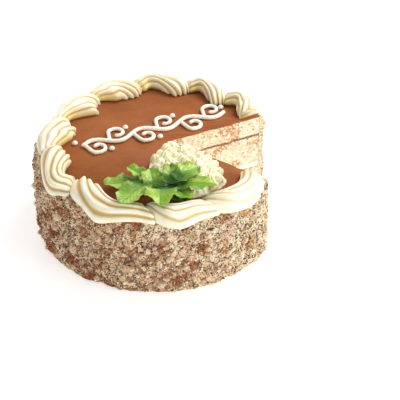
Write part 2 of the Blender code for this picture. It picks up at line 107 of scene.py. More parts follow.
class Wire:
    """A shader socket that takes part in sums and products."""

    def __init__(self, paint, socket):
        self.paint = paint
        self.socket = socket

    def maths(self, operation, other):
        """This wire and a number or another wire, through one node."""
        return self.paint.add("Math", {"operation": operation}, {0: self, 1: other})

    def __add__(self, other):
        return self.maths("ADD", other)

    def __radd__(self, other):
        return self.maths("ADD", other)

    def __mul__(self, other):
        return self.maths("MULTIPLY", other)

    def __rmul__(self, other):
        return self.maths("MULTIPLY", other)

    def step(self, low, high):
        """0 below low, 1 above high, and a smooth rise between them."""
        settings = {"interpolation_type": "SMOOTHSTEP"}
        values = {"Value": self, "From Min": low, "From Max": high}
        return self.paint.add("MapRange", settings, values)


class Paint:
    """One material, with its nodes made through add()."""

    def __init__(self, name):
        self.material = bpy.data.materials.new(name)
        self.material.use_nodes = True
        self.tree = self.material.node_tree
        self.shader = self.tree.nodes["Principled BSDF"]
        self.place = self.add("TexCoord", output="Object")

    def add(self, kind, settings=None, values=None, output=0):
        """A node of any kind; values are numbers, tuples or wires for its sockets."""
        node = self.tree.nodes.new("ShaderNode" + kind)
        for name, value in (settings or {}).items():
            setattr(node, name, value)
        for key, value in (values or {}).items():
            self.plug(node.inputs[key], value)
        return Wire(self, node.outputs[output])

    def plug(self, socket, value):
        """Link a wire to a socket, or set the socket's own value."""
        if isinstance(value, Wire):
            self.tree.links.new(value.socket, socket)
        else:
            socket.default_value = (*value, 1.0) if socket.type == "RGBA" else value

    def mix(self, factor, first, second):
        """Colour between two colours."""
        return self.add("Mix", {"data_type": "RGBA"}, {0: factor, 6: first, 7: second}, 2)

    def noise(self, size, offset=0.0, stretch=(1.0, 1.0, 1.0)):
        """Soft noise with lumps of a size in millimetres; an offset takes another part of it."""
        moved = {"Vector": self.place, "Location": (offset, 0.0, 0.0), "Scale": stretch}
        place = self.add("Mapping", None, moved)
        values = {"Vector": place, "Scale": 1.0 / (size * MM), "Detail": 3.0, "Roughness": 0.55}
        return self.add("TexNoise", None, values)

    def cells(self, size):
        """Grains of a size in millimetres, each with its own random value."""
        values = {"Vector": self.place, "Scale": 1.0 / (size * MM)}
        return self.add("TexVoronoi", None, values, "Color")

    def attribute(self, name):
        """A value stored with the mesh's points."""
        return self.add("Attribute", {"attribute_name": name}, None, "Fac")

    def bump(self, height, distance):
        """Relief of a height in millimetres where the wire is 1."""
        values = {"Height": height, "Distance": distance * MM, "Strength": 1.0}
        self.plug(self.shader.inputs["Normal"], self.add("Bump", None, values))

    def set(self, **values):
        """Set or link the shader's own sockets; an underscore stands for a space."""
        for name, value in values.items():
            self.plug(self.shader.inputs[name.replace("_", " ")], value)

    def soften(self, weight, depths):
        """Let light sink in, to depths in millimetres for red, green and blue."""
        radius = tuple(depth * MM for depth in depths)
        self.set(Subsurface_Weight=weight, Subsurface_Radius=radius, Subsurface_Scale=1.0)


def srgb(red, green, blue):
    """Linear colour from red, green and blue between 0 and 255."""
    return tuple(((c / 255 + 0.055) / 1.055) ** 2.4 for c in (red, green, blue))


def make_piece(name, points, faces, paint, replaces=(), values=None, sharp=False):
    """A piece from points in millimetres, riding on the cake in place of the solids named."""
    mesh = bpy.data.meshes.new(name)
    mesh.from_pydata(np.asarray(points) * MM, [], faces)
    for label, numbers in (values or {}).items():
        layer = mesh.attributes.new(label, "FLOAT", "POINT")
        layer.data.foreach_set("value", np.asarray(numbers, np.float32))
    if sharp:
        mesh.shade_flat()
    else:
        mesh.shade_smooth()
    mesh.materials.append(paint.material)
    piece = bpy.data.objects.new(name, mesh)
    bpy.context.scene.collection.objects.link(piece)
    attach(piece, "root")
    if replaces:
        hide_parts(*replaces)


def unit(angle):
    """Unit vector in plan at an angle in degrees."""
    return math.cos(math.radians(angle)), math.sin(math.radians(angle))


def smooth(share):
    """Ease from 0 to 1, for a number or an array."""
    share = np.clip(share, 0.0, 1.0)
    return share * share * (3.0 - 2.0 * share)


def reach(angle, radius):
    """Distance from the notch's corner, along a plan angle, to a circle about the middle."""
    ux, uy = unit(angle)
    along = APEX[0] * ux + APEX[1] * uy
    return -along + math.sqrt(along ** 2 - APEX[0] ** 2 - APEX[1] ** 2 + radius ** 2)


def on_ray(angle, distance):
    """Plan point at a distance from the notch's corner."""
    ux, uy = unit(angle)
    return APEX[0] + ux * distance, APEX[1] + uy * distance


def lump(x, y, z, size):
    """Smooth noise from -1 to 1 with lumps of a size in millimetres."""
    return noise.noise(Vector((x, y, z)) / size)


def grain(x, y, z, size):
    """Rounded grains of a size in millimetres: 0 at a grain's middle, 1 between grains."""
    return min(noise.voronoi(Vector((x, y, z)) / size)[0][0], 1.0)


def layer_face(level, x, y):
    """Height of the meeting face between two layers, gently uneven inside the cake."""
    if level in (0.0, TOP, UNDER_CHOCOLATE):
        return level
    place = Vector((x / MEETING_SIZE, y / MEETING_SIZE, level / MEETING_DRIFT))
    return level + MEETING_SWELL * noise.noise(place)


def cut_relief(distance, z, length, seed, crumbs):
    """How far a cut face stands out of its plane: broad tears, and grains of crumb."""
    fade = smooth(distance / CORNER_FADE) * smooth((length - distance) / RIM_FADE)
    broad = TEAR_DEPTH * noise.noise(Vector((distance / TEAR_SIZE, z / TEAR_SIZE, seed)))
    fine = 0.5 - grain(distance, z, 5.0 * seed, GRAIN_SIZE)
    fine += 0.6 * lump(distance, z, seed, FINE_SIZE)
    return fade * broad + crumbs * smooth(distance / 2.0) * fine


def make_layer(node, low, high, crumbs, paint):
    """One layer running through the cake, finely divided on both cut faces."""
    radius = CAKE_RADIUS - COAT_THICKNESS - GAP
    low_gap = GAP / 2 if low > 0.0 else 0.0
    high_gap = GAP / 2 if high < TOP else 0.0
    rows = max(2, math.ceil((high - low) / CUT_CELL))
    outline = [(*APEX, 0.0, 0.0, 0.0, 0.0, 0.0)]
    for angle, to_front, seed in CUT_FACES:
        length = reach(angle, radius)
        steps = math.ceil(length / CUT_CELL)
        column = []
        for step in range(1, steps + 1):
            distance = length * step / steps
            facing = unit(angle + to_front)
            column.append((*on_ray(angle, distance), *facing, distance, length, seed))
        if angle == FAR_CUT:
            outline += column
            for plan in np.linspace(FAR_CUT, NEAR_CUT, ROUND_COLUMNS)[1:-1]:
                outline.append((*on_ray(plan, reach(plan, radius)), 0.0, 0.0, 0.0, 0.0, 0.0))
        else:
            outline += reversed(column)
    points, tones = [], []
    for x, y, nx, ny, distance, length, seed in outline:
        bottom = layer_face(low, x, y) + low_gap
        top = layer_face(high, x, y) - high_gap
        for row in range(rows + 1):
            level = low + (high - low) * row / rows
            out = cut_relief(distance, level, length, seed, crumbs) if seed else 0.0
            points.append((x + nx * out, y + ny * out, bottom + (top - bottom) * row / rows))
            tones.append(out)
    count, tall = len(outline), rows + 1
    faces = []
    for i in range(count):
        after = (i + 1) % count
        for row in range(rows):
            a, b = i * tall + row, after * tall + row
            faces.append((a, b, b + 1, a + 1))
    middle = on_ray((FAR_CUT + NEAR_CUT) / 2, FAN_DISTANCE)
    points.append((*middle, layer_face(low, *middle) + low_gap))
    points.append((*middle, layer_face(high, *middle) - high_gap))
    tones += [0.0, 0.0]
    for i in range(count):
        after = (i + 1) % count
        faces.append((len(points) - 2, after * tall, i * tall))
        faces.append((len(points) - 1, i * tall + rows, after * tall + rows))
    make_piece(node + "_layer", points, faces, paint, (node,), {"relief": tones})


meringue = Paint("meringue")
IVORY = srgb(246, 235, 212)
WARM_IVORY = srgb(226, 204, 168)
# The toasted colour of nut bits, also used as painted shade in the pits of the cut face.
TOASTED_AND_PIT_SHADE = srgb(196, 154, 100)
BROWNED = srgb(186, 128, 62)
DARK_SKIN = srgb(96, 66, 42)
crumb_tone = meringue.mix(meringue.noise(2.6).step(0.4, 0.62), IVORY, WARM_IVORY)
nuts = meringue.cells(2.3).step(0.8, 0.86)
crumb_tone = meringue.mix(nuts * 0.7, crumb_tone, TOASTED_AND_PIT_SHADE)
patches = meringue.noise(15.0, offset=2.0).step(0.53, 0.59) * meringue.noise(2.4).step(0.38, 0.56)
crumb_tone = meringue.mix(patches * 0.85, crumb_tone, BROWNED)
specks = meringue.cells(1.3).step(0.9, 0.92)
crumb_tone = meringue.mix(specks * 0.7, crumb_tone, DARK_SKIN)
# Painted shade: the sunken pits of the torn cut face are drawn towards the toasted nut colour.
pit_shade = meringue.attribute("relief").step(-0.2, -0.8)
meringue.set(Base_Color=meringue.mix(pit_shade * 0.3, crumb_tone, TOASTED_AND_PIT_SHADE), Roughness=0.85)
meringue.bump(meringue.noise(0.9), 0.6)

white_cream = Paint("white_cream")
smears = white_cream.noise(5.0, stretch=(0.3, 0.3, 2.0))
white_cream.set(
    Base_Color=white_cream.mix(smears.step(0.3, 0.7), srgb(250, 244, 226), srgb(240, 226, 192)),
    Roughness=0.45,
)
white_cream.bump(smears, 0.4)

nut_cream = Paint("nut_cream")
flecks = nut_cream.noise(1.8).step(0.4, 0.62)
nut_cream.set(
    Base_Color=nut_cream.mix(flecks, srgb(116, 82, 52), srgb(186, 146, 98)),
    Roughness=0.7,
)
nut_cream.bump(flecks, 0.4)

make_layer("meringue_bottom", 0.0, BOTTOM_TOP, TORN, meringue)
make_layer("cream_white", BOTTOM_TOP, WHITE_CREAM_TOP, SMEARED, white_cream)
make_layer("meringue_middle", WHITE_CREAM_TOP, MIDDLE_TOP, TORN, meringue)
make_layer("cream_nut", MIDDLE_TOP, NUT_CREAM_TOP, FLECKED, nut_cream)
make_layer("meringue_top", NUT_CREAM_TOP, UNDER_CHOCOLATE, TORN, meringue)


# Chocolate
# A skin of soft chocolate glaze spread over the stack with a palette knife. It sets satin,
# with faint marks of the blade, and breaks cleanly along the cut.

CLEAN = 0.15

chocolate = Paint("chocolate")
blade = chocolate.noise(9.0, stretch=(0.35, 1.3, 1.0))
cloud = chocolate.noise(22.0, offset=4.0)
brown = chocolate.mix(cloud.step(0.35, 0.65), srgb(154, 91, 52), srgb(164, 99, 58))
chocolate.set(
    Base_Color=chocolate.mix(blade.step(0.5, 0.75) * 0.3, brown, srgb(134, 74, 44)),
    Roughness=0.45 + 0.12 * blade,
    Specular_IOR_Level=0.07,
)
chocolate.bump(blade + 0.25 * chocolate.noise(1.5), 0.35)
make_layer("chocolate_top", UNDER_CHOCOLATE, TOP, CLEAN, chocolate)


# Crumb coat
# Cream smeared round the side holds a thick coat of crushed meringue and toasted nuts: pale
# crumbs, nut bits, dark scraps of skin and rusty chunks, pressed on by hand.

COAT_BUMPS = ((2.4, 13.0), (2.0, 6.0))
SHOULDER_HEIGHT = 8.0
SHOULDER_DROP = 3.0
FOOT_HEIGHT = 5.0
FOOT_DRAW = 1.2
WALL_CELL = 1.0
WALL_SINK = 1.5
WALL_GRAIN = 2.2
CLUMP = 5.5
CLUMP_RISE = 0.7
GRAIN_RISE = 0.9
CRUMB_BANDS = 5
CRUMBS_PER_BAND = 10
CRUMB_RADII = (2.4, 2.8, 3.2, 4.2)
SCRAPS = 24
SCRAP_CORNERS = 8
ROUNDED_CRUMBS = 12
BROKEN_SIDES = 4
CRUMB_RELIEF = 0.35
DUST = 32000
DUST_SIZES = (0.4, 0.85)
CRUMBS = 1500
CRUMB_SIZES = (0.7, 1.25)
CRUMB_SINK = 0.45
ON_LUMPS = (("nut", 1000), ("pale", 900), ("dark", 500))
ON_LUMPS_SIZES = (0.35, 0.75)
END_SCRAPS = 420
END_SIZES = (0.5, 1.3)

# Patches of the coat that are rusty or golden: plan angle, height and size of each
RUSTY = (
    (194.0, 58.0, 6.0),
    (199.0, 20.0, 7.0),
    (205.0, 40.0, 6.0),
    (208.0, 9.0, 7.0),
    (212.0, 30.0, 6.0),
    (218.0, 63.0, 8.0),
    (225.0, 14.0, 8.0),
    (236.0, 5.0, 5.0),
    (246.0, 3.0, 5.0),
    (260.0, 73.0, 5.0),
    (271.0, 49.0, 5.0),
    (278.0, 14.0, 7.0),
    (283.0, 72.0, 6.0),
    (286.0, 26.0, 6.0),
    (290.0, 42.0, 6.0),
    (301.0, 68.0, 6.0),
    (60.0, 55.0, 6.0),
    (120.0, 30.0, 6.0),
    (160.0, 50.0, 6.0),
)
GOLDEN = (
    (298.0, 74.0, 6.0),
    (300.0, 35.0, 6.0),
    (311.0, 65.0, 6.0),
    (316.0, 26.0, 7.0),
    (90.0, 20.0, 6.0),
    (140.0, 60.0, 5.0),
)

# The first repeats the draws of the solids' own lumps and florets, the second is for looks alone
draw = random.Random(1956)
spread = np.random.default_rng(1956)


def coat_radius(x, y, z):
    """Outer radius of the crumb coat: coarse bumps, and a rounded shoulder and foot."""
    bumps = sum(height * lump(x, y, z, width) for height, width in COAT_BUMPS)
    near_top = smooth((z - TOP + SHOULDER_HEIGHT) / SHOULDER_HEIGHT)
    foot = FOOT_DRAW * smooth(1.0 - z / FOOT_HEIGHT)
    return CAKE_RADIUS + bumps * (1.0 - 0.8 * near_top) - SHOULDER_DROP * near_top - foot


def coat_point(angle, z, out=0.0):
    """Point on the coat, at a plan angle about the notch's corner."""
    x, y = on_ray(angle, reach(angle, CAKE_RADIUS))
    x, y = on_ray(angle, reach(angle, coat_radius(x, y, z) + out))
    return x, y, z


def clump(x, y, z):
    """How far inside a clump of crumbs a point lies, 0 in the cracks, and the clump's tone."""
    distances, middles = noise.voronoi(Vector((x, y, z)) / CLUMP)
    inside = smooth((distances[1] - distances[0]) / 0.3)
    return inside, (9.0 * noise.cell(7.3 * middles[0])) % 1.0


def patch(table, x, y, z):
    """How far inside a ragged patch of a table a point lies, from 0 to 1."""
    plan = math.degrees(math.atan2(y, x)) % 360.0
    ragged = 1.0 + 1.1 * lump(x, y, z, 4.0)
    nearest = min(
        math.hypot(math.radians(plan - angle) * CAKE_RADIUS, z - height) / size
        for angle, height, size in table
    )
    return smooth(1.7 - 1.4 * nearest / ragged)


def lighter_lit_side_and_patches(x, y, z):
    """How much lighter the coat is at a place: towards the lit right side, which is painted light,
    and in broad patches of its own tone.
    """
    return 0.6 * smooth((x + 30.0) / 120.0) + 0.4 * lump(x, y, z, 20.0)


def ring_faces(rings, around, inward=False):
    """Faces between rings of points that follow one another."""
    faces = []
    for ring in range(rings - 1):
        for k in range(around):
            a, b = ring * around + k, ring * around + (k + 1) % around
            face = (a, a + around, b + around, b) if inward else (a, b, b + around, a + around)
            faces.append(face)
    return faces


def make_wall(paint):
    """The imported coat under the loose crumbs, a thick wall open at the notch."""
    columns = math.ceil(math.radians(NEAR_CUT - FAR_CUT) * CAKE_RADIUS / WALL_CELL)
    rows = math.ceil(TOP / WALL_CELL)
    points, depth, tone, rusty, golden = [], [], [], [], []
    for column in range(columns + 1):
        angle = FAR_CUT + (NEAR_CUT - FAR_CUT) * column / columns
        for row in range(rows + 1):
            x, y, z = coat_point(angle, TOP * row / rows)
            inside, own = clump(x, y, z)
            fine = 0.5 - grain(x, y, z, WALL_GRAIN)
            out = -WALL_SINK + CLUMP_RISE * inside + GRAIN_RISE * fine
            points.append(coat_point(angle, z, out))
            depth.append(inside + GRAIN_RISE * fine)
            # The clump's own tone, made lighter towards the lit right side as painted light.
            tone.append(own + lighter_lit_side_and_patches(x, y, z))
            rusty.append(patch(RUSTY, x, y, z))
            golden.append(patch(GOLDEN, x, y, z))
        inner = on_ray(angle, reach(angle, CAKE_RADIUS - COAT_THICKNESS))
        points += [(*inner, TOP), (*inner, 0.0)]
        depth += [0.8, 0.8]
        tone += [0.9, 0.9]
        rusty += [0.0, 0.0]
        golden += [0.0, 0.0]
    around = rows + 3
    faces = ring_faces(columns + 1, around, inward=True)
    faces.append(tuple(range(around - 1, -1, -1)))
    faces.append(tuple(range(columns * around, (columns + 1) * around)))
    values = {"depth": depth, "tone": tone, "rusty": rusty, "golden": golden}
    make_piece("coat_wall", points, faces, paint, ("crumb_coat",), values)


def corners_and_sides(work):
    """Corners and faces of a finished work mesh as arrays."""
    work.verts.index_update()
    corners = np.array([vertex.co for vertex in work.verts])
    sides = np.array([[vertex.index for vertex in face.verts] for face in work.faces])
    work.free()
    return corners, sides


def make_rounded():
    """Unit crumbs: balls with some flat broken sides and a rough surface."""
    shapes = []
    for number in range(ROUNDED_CRUMBS):
        work = bmesh.new()
        bmesh.ops.create_icosphere(work, subdivisions=2, radius=1.0)
        corners, sides = corners_and_sides(work)
        for normal in spread.normal(size=(BROKEN_SIDES, 3)):
            normal /= np.linalg.norm(normal)
            over = np.maximum(corners @ normal - spread.uniform(0.45, 0.75), 0.0)
            corners -= over[:, None] * normal
        bumps = [lump(*corner, 0.7 + 0.01 * number) for corner in corners]
        corners *= (1.0 + CRUMB_RELIEF * np.array(bumps))[:, None]
        shapes.append((corners, sides))
    return shapes


def make_scraps():
    """Unit scraps with sharp edges, each the hull of a few random points."""
    shapes = []
    for _ in range(SCRAPS):
        work = bmesh.new()
        for place in spread.normal(size=(SCRAP_CORNERS, 3)):
            work.verts.new(place / np.linalg.norm(place) * spread.uniform(0.85, 1.1))
        bmesh.ops.convex_hull(work, input=work.verts[:])
        shapes.append(corners_and_sides(work))
    return shapes


def turns(count):
    """Random rotation matrices."""
    quaternions = spread.normal(size=(count, 4))
    w, x, y, z = (quaternions / np.linalg.norm(quaternions, axis=1)[:, None]).T
    rows = (
        (1 - 2 * (y * y + z * z), 2 * (x * y - z * w), 2 * (x * z + y * w)),
        (2 * (x * y + z * w), 1 - 2 * (x * x + z * z), 2 * (y * z - x * w)),
        (2 * (x * z - y * w), 2 * (y * z + x * w), 1 - 2 * (x * x + y * y)),
    )
    return np.array(rows).transpose(2, 0, 1)


def inside_box(points, margin):
    """Points, drawn in where they would leave the box of the solids."""
    low, high = (np.array(corner) / MM for corner in cad_box)
    return np.clip(points, low + margin, high - margin)


def make_crumbs(name, places, sizes, shapes, paint, sharp=True):
    """Many crumbs of one kind, each turned and stretched its own way."""
    points, faces, tones = [], [], []
    start = 0
    spins = turns(len(places))
    for number, (place, size) in enumerate(zip(places, sizes)):
        corners, sides = shapes[number % len(shapes)]
        stretch = spread.uniform(0.7, 1.2, 3)
        points.append((corners * stretch * size) @ spins[number].T + place)
        faces.append(sides + start)
        tones.append(np.full(len(corners), spread.random()))
        start += len(corners)
    points = inside_box(np.concatenate(points), 0.02)
    faces = np.concatenate(faces).tolist()
    tone = {"tone": np.concatenate(tones)}
    make_piece(name, points, faces, paint, (), tone, sharp)


def kind_of(x, y, z):
    """Kind of crumb at a place: its clump's own kind, now and then a stray one."""
    inside, tone = clump(x, y, z)
    # Dark scraps of skin are the crumbs' own colour; the extra share of them in the cracks between
    # clumps is painted shade.
    if spread.random() < 0.25 + 0.12 * (1.0 - inside):
        return "dark"
    if spread.random() < 0.85 * patch(RUSTY, x, y, z):
        return "rust"
    if spread.random() < 0.85 * patch(GOLDEN, x, y, z):
        return "golden"
    # Lighter kinds of crumb towards the lit right side are painted light; the rest is the clump's
    # own tone and chance.
    tone = 0.15 + 0.7 * tone + lighter_lit_side_and_patches(x, y, z) + spread.uniform(-0.3, 0.3)
    if tone < 0.05:
        return "rust" if spread.random() < 0.1 else "nut"
    return "nut" if tone < 0.5 else "pale"


def strew(name, count, sizes, sink, shapes, sharp):
    """Crumbs all over the coat, sorted into one piece for each kind."""
    places = {kind: [] for kind in coat_paints}
    low, high = (FAR_CUT + 0.4, 1.0), (NEAR_CUT - 0.4, TOP - 1.2)
    for angle, height in spread.uniform(low, high, (count, 2)):
        x, y, z = coat_point(angle, height)
        inside = clump(x, y, z)[0]
        if inside > 0.25 or spread.random() < 0.65:
            places[kind_of(x, y, z)].append(coat_point(angle, z, -1.0 + 0.6 * inside - sink))
    for kind, spots in places.items():
        radii = spread.uniform(*sizes, len(spots))
        make_crumbs("%s_%s" % (kind, name), spots, radii, shapes, coat_paints[kind], sharp)


def make_lumps(paint):
    """Large lumps of meringue and nut, where the coat stands out furthest; gives their points."""
    points, faces, tones = [], [], []
    start = 0
    low, high = 5.0, TOP - 11.0
    for band in range(CRUMB_BANDS):
        for place in range(CRUMBS_PER_BAND):
            along = (place + 0.5 + draw.uniform(-0.35, 0.35)) / CRUMBS_PER_BAND
            angle = FAR_CUT + 7.0 + (NEAR_CUT - FAR_CUT - 14.0) * along
            radius = draw.choice(CRUMB_RADII)
            z = low + (high - low) * (band + 0.5 + draw.uniform(-0.35, 0.35)) / CRUMB_BANDS
            middle = Vector((*on_ray(angle, reach(angle, CAKE_RADIUS - 0.2 * radius)), z))
            work = bmesh.new()
            bmesh.ops.create_icosphere(work, subdivisions=1, radius=1.0)
            for vertex in work.verts:
                vertex.co *= draw.uniform(0.8, 1.15)
            stretch = Matrix.Diagonal((draw.uniform(0.8, 1.25), draw.uniform(0.8, 1.25), 0.85))
            spin = draw.uniform(0.0, math.tau)
            turn = Matrix.Rotation(spin, 3, Vector((draw.random(), draw.random(), 1.0)))
            edges = work.edges[:]
            bmesh.ops.subdivide_edges(work, edges=edges, cuts=5, use_grid_fill=True, smooth=0.5)
            bmesh.ops.triangulate(work, faces=work.faces[:])
            corners, sides = corners_and_sides(work)
            tone = spread.random()
            for corner in corners:
                point = turn @ stretch @ Vector(corner) * radius
                x, y, z = point + middle
                rough = 1.0 + 0.2 * lump(x, y, z, 1.8) + 0.1 * lump(x, y, z, 0.7)
                points.append(point * rough * 0.96 + middle)
                tones.append(tone)
            faces += (sides + start).tolist()
            start += len(corners)
    points = inside_box(np.array(points), 0.0)
    make_piece("coat_lumps", points, faces, paint, (), {"tone": tones})
    return points


def crumb_paint(name, light, dark, vein, size):
    """Matt crumbs between two tones, with veins of a third and of a size in millimetres."""
    paint = Paint(name)
    own = paint.mix(paint.attribute("tone"), srgb(*light), srgb(*dark))
    veins = paint.noise(size).step(0.5, 0.72) * 0.55
    paint.set(Base_Color=paint.mix(veins, own, srgb(*vein)), Roughness=0.88)
    paint.bump(paint.noise(0.7), 0.3)
    return paint


wall = Paint("packed_crumbs")
# Painted shade: where the relief depth is low, in the cracks between clumps, the crumbs turn dark
# brown.
crack_shade = wall.attribute("depth").step(0.7, 0.0)
# The ground colour follows the tone, which is lighter towards the lit right side as painted light.
ground = wall.mix(wall.attribute("tone").step(0.1, 0.6), srgb(182, 132, 96), srgb(236, 202, 158))
ground = wall.mix(wall.attribute("tone").step(0.6, 1.3), ground, srgb(250, 232, 190))
ground = wall.mix(wall.noise(1.6).step(0.4, 0.7) * 0.5, ground, srgb(150, 106, 72))
ground = wall.mix(wall.attribute("rusty") * 0.8, ground, srgb(156, 88, 44))
ground = wall.mix(wall.attribute("golden") * 0.7, ground, srgb(208, 150, 84))
wall.set(Base_Color=wall.mix(crack_shade * 0.8, ground, srgb(96, 64, 44)), Roughness=0.95)
wall.bump(wall.noise(1.2), 0.6)
make_wall(wall)

coat_paints = {
    "pale": crumb_paint("pale_crumb", (255, 252, 236), (246, 216, 178), (202, 158, 114), 1.5),
    "nut": crumb_paint("nut_crumb", (228, 184, 150), (170, 122, 92), (236, 200, 160), 1.8),
    "dark": crumb_paint("dark_crumb", (118, 78, 48), (58, 38, 26), (46, 30, 20), 1.2),
    "rust": crumb_paint("rust_crumb", (204, 120, 60), (156, 82, 40), (122, 64, 32), 1.6),
    "golden": crumb_paint("golden_crumb", (234, 188, 116), (206, 146, 72), (166, 104, 50), 1.6),
}
scraps = make_scraps()
rounded = make_rounded()
strew("dust", DUST, DUST_SIZES, 0.0, scraps, True)
strew("crumbs", CRUMBS, CRUMB_SIZES, CRUMB_SINK, rounded, False)

chunk = crumb_paint("chunk_crumb", (244, 226, 192), (190, 150, 112), (164, 120, 82), 2.4)
total = sum(count for kind, count in ON_LUMPS)
on_lumps = spread.choice(make_lumps(chunk), total, replace=False)
for kind, count in ON_LUMPS:
    share, on_lumps = on_lumps[:count], on_lumps[count:]
    radii = spread.uniform(*ON_LUMPS_SIZES, count)
    make_crumbs(kind + "_on_lumps", share, radii, scraps, coat_paints[kind])

ends = []
low, high = (-COAT_THICKNESS + 0.5, 0.8), (-0.8, TOP - 0.6)
for angle in (FAR_CUT, NEAR_CUT):
    for deep, height in spread.uniform(low, high, (END_SCRAPS, 2)):
        ends.append((*on_ray(angle, reach(angle, CAKE_RADIUS + deep)), height))
radii = spread.uniform(*END_SIZES, len(ends))
make_crumbs("end_crumbs", ends, radii, scraps, coat_paints["pale"])


# Piped border
# Ten strokes of butter cream from a star nozzle, piped one after another along the rim. Each
# starts at an inner leg on the last one's tail, arches out and comes back in, so its strands
# fan out in teeth at the legs.

BORDER_JOINTS = (27.6, 45.0, 69.0, 98.0, 125.0, 154.0, 182.0, 218.0, 261.0, 289.0, 329.2)

# The border's two edges: plan angle and plan radius of each hollow and tooth
BORDER_INNER = (
    (23.0, 84.0),
    (33.0, 87.0),
    (39.0, 94.0),
    (51.0, 81.5),
    (64.5, 94.5),
    (77.5, 82.0),
    (92.5, 93.0),
    (103.0, 81.0),
    (116.0, 81.0),
    (124.0, 88.0),
    (137.0, 74.0),
    (152.5, 88.0),
    (163.0, 75.5),
    (172.0, 75.5),
    (181.0, 84.5),
    (196.0, 78.0),
    (210.5, 91.5),
    (221.0, 79.5),
    (231.0, 80.5),
    (248.0, 96.0),
    (263.0, 90.0),
    (278.0, 97.0),
    (293.0, 92.0),
    (314.0, 94.0),
    (332.0, 82.0),
)
BORDER_OUTER = (
    (23.0, 105.0),
    (36.0, 108.0),
    (51.0, 103.5),
    (63.0, 108.5),
    (76.0, 103.5),
    (90.0, 108.5),
    (104.0, 103.5),
    (117.0, 108.5),
    (131.0, 103.0),
    (144.0, 107.5),
    (158.5, 102.5),
    (173.0, 107.0),
    (189.5, 103.5),
    (214.0, 112.5),
    (228.5, 105.5),
    (240.0, 115.5),
    (262.0, 110.0),
    (277.0, 115.5),
    (293.0, 111.5),
    (312.0, 115.5),
    (332.0, 107.0),
)
BORDER_HEIGHT = 12.0
BORDER_RADIUS = 100.0
STATION = 0.6
SECTION_POINTS = 72
COAT_EDGE = 109.0
LIP_SLOPE = 0.7
BORDER_LEAN = 0.39
LEAN_RADIUS = 87.0
STRANDS = 4.5
STRAND_DEPTH = 1.5
HEAD = 0.05
TAIL = 0.1

# How soon the strands of each stroke fan out, and how deep the shade is in its outer grooves
STRAND_FAN = (0.6, 0.6, 0.6, 0.6, 0.6, 0.65, 0.6, 0.5, 0.25, 0.3)
GROOVE_SHADE = (0.7, 0.7, 0.5, 0.35, 0.3, 0.5, 1.15, 1.2, 0.75, 0.5)


def edge_radius(angle, edge):
    """Plan radius of an edge at an array of angles, smoothly through its named radii."""
    angles, radii = np.array(edge).T
    i = np.clip(np.searchsorted(angles, angle) - 1, 0, len(angles) - 2)
    share = (angle - angles[i]) / (angles[i + 1] - angles[i])
    return radii[i] + (radii[i + 1] - radii[i]) * smooth(share)


def make_stroke(index, paint):
    """One stroke: a low arch in section, pleated into strands that fan out from its head."""
    start, end = BORDER_JOINTS[index:index + 2]
    first, last = index == 0, index == len(BORDER_JOINTS) - 2
    stations = round(math.radians(end - start) * BORDER_RADIUS / STATION)
    travel = np.linspace(0.0 if first else -HEAD, 1.0, stations)[:, None]
    turn = np.linspace(0.0, np.pi, SECTION_POINTS)[None, :]
    along = np.clip(travel, 0.0, 1.0)

    def plan_angle(radius):
        beyond = BORDER_LEAN * (radius - LEAN_RADIUS)
        low, high = start + beyond * (not first), end + beyond * (not last)
        return low + (high - low) * travel

    def on_edge(edge):
        return edge_radius(plan_angle(edge_radius(plan_angle(LEAN_RADIUS), edge)), edge)

    inner, outer = on_edge(BORDER_INNER), on_edge(BORDER_OUTER)
    height = BORDER_HEIGHT * (0.75 + 0.25 * smooth(along / 0.2))
    height = height * (1.0 - 0.28 * smooth((along - 0.6) / 0.4))
    head = 1.0 if first else np.clip((travel + HEAD) / (3.0 * HEAD), 0.0, 1.0)
    tail = np.clip((1.0 - travel) / TAIL, 0.0, 1.0)
    taper = np.sqrt(1.0 - (1.0 - head) ** 2) * np.sqrt(1.0 - (1.0 - tail) ** 2)

    across = turn / np.pi
    fan = np.clip((along + 0.3 * first) / STRAND_FAN[index], 0.0, 1.0) ** 0.8
    wobble = 0.03 * np.sin(7.0 * travel + 2.1 * index) * np.sin(turn)
    phase = STRANDS * (1.0 - (1.0 - across) * fan + wobble)
    strand = (0.5 - 0.5 * np.cos(math.tau * phase)) ** 0.65
    at_edge = smooth((1.1 - turn) / 0.9)
    depth = STRAND_DEPTH * (1.0 + 0.9 * (1.0 - fan) * at_edge) * np.sqrt(taper)
    push = depth * (strand - 0.75)
    middle, half = (inner + outer) / 2, (outer - inner) / 2 * taper
    radius = middle - half * np.cos(turn) - push * np.cos(turn)
    lip = LIP_SLOPE * np.maximum(outer - COAT_EDGE, 0.0) * smooth((turn - 2.0) / 1.0)
    floor = TOP + GAP - lip
    rise = (TOP + GAP + height * taper - floor) * np.sin(turn) ** 0.75
    z = np.maximum(floor + rise + push * np.sin(turn), floor)

    angle = np.radians(plan_angle(radius))
    points = np.stack((radius * np.cos(angle), radius * np.sin(angle), z), axis=-1)
    faces = ring_faces(stations, SECTION_POINTS, inward=True)
    faces.append(tuple(range(SECTION_POINTS)))
    outside = GROOVE_SHADE[index]
    # Painted shade: the grooves between strands are darker, in full on the inner side and by the
    # stroke's GROOVE_SHADE on the outer side; the inner legs take a yellow painted shade, more
    # towards the stroke's end.
    shaded = (1.0 - strand) ** 1.5 * (outside + (1.0 - outside) * smooth((2.2 - turn) / 1.6))
    leg_shade = smooth((1.6 - turn) / 1.2) * (0.2 + 0.8 * smooth((along - 0.55) / 0.35))
    values = {"groove_shade": shaded.ravel(), "leg_shade": leg_shade.ravel()}
    name, node = "stroke_%02d" % (index + 1), "border_%02d" % (index + 1)
    make_piece(name, points.reshape(-1, 3), faces, paint, (node,), values)


cream = Paint("butter_cream")
